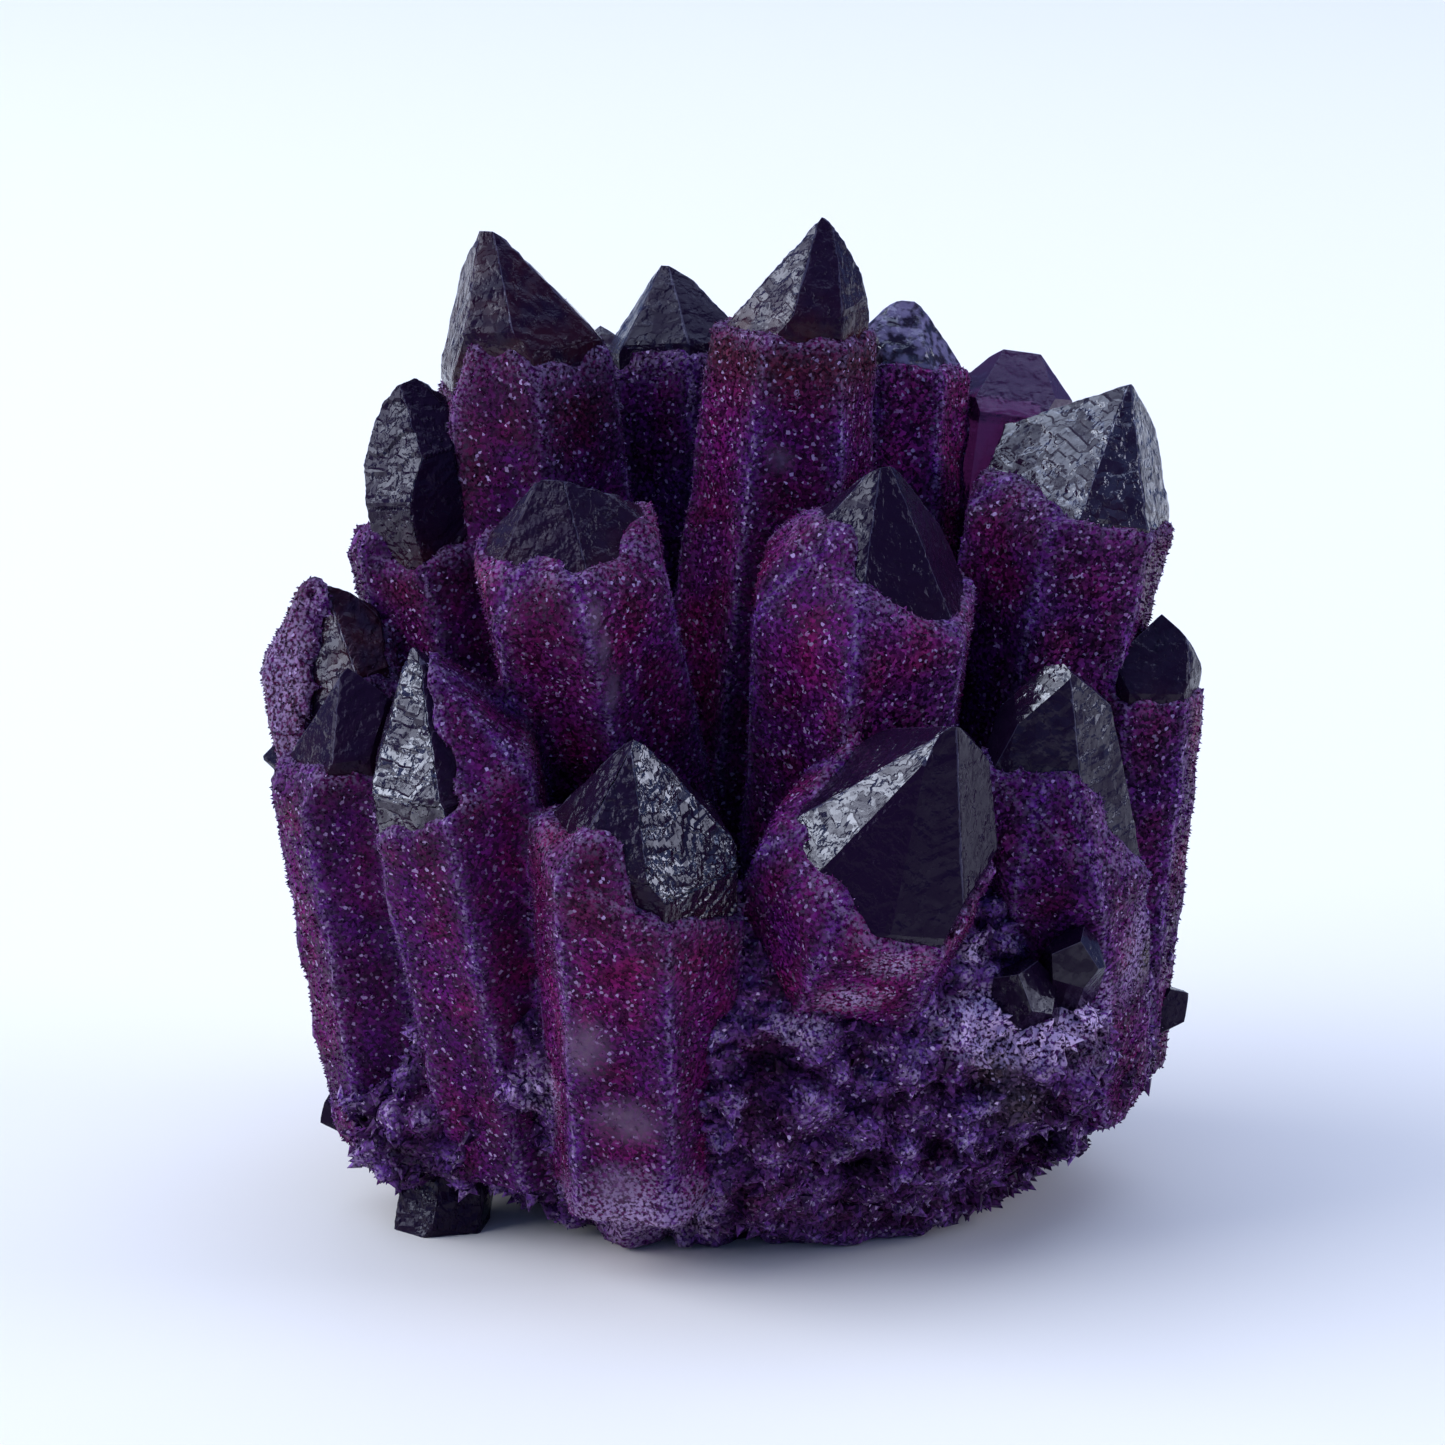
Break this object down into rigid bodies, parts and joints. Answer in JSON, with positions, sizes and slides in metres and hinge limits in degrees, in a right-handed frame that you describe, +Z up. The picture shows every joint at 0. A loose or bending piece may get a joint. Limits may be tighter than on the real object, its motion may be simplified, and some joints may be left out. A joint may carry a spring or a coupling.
{
  "type": "amethyst cluster",
  "caption": "Upright cluster of purple quartz points with sugary coats and bare glassy tips, on a lumpy foot cut flat to stand.",
  "frame": {"origin": "on the flat cut under the foot, below the middle of the cluster", "axes": "+Z up out of the cut, -Y towards the front that the picture shows, +X to the right of that view"},
  "size_m": [0.0942, 0.0882, 0.0984],
  "materials": {
    "druzy_coat": "purple quartz under a sugary coat of fine sparkling crystals",
    "bare_points": "bare dark purple quartz, glassy, striated and stepped by growth",
    "druzy_foot": "lumpy mass of small purple crystals, frosted pale in places"
  },
  "bodies": {
    "root": {"amethyst_cluster": "druzy_coat"}
  },
  "joints": []
}
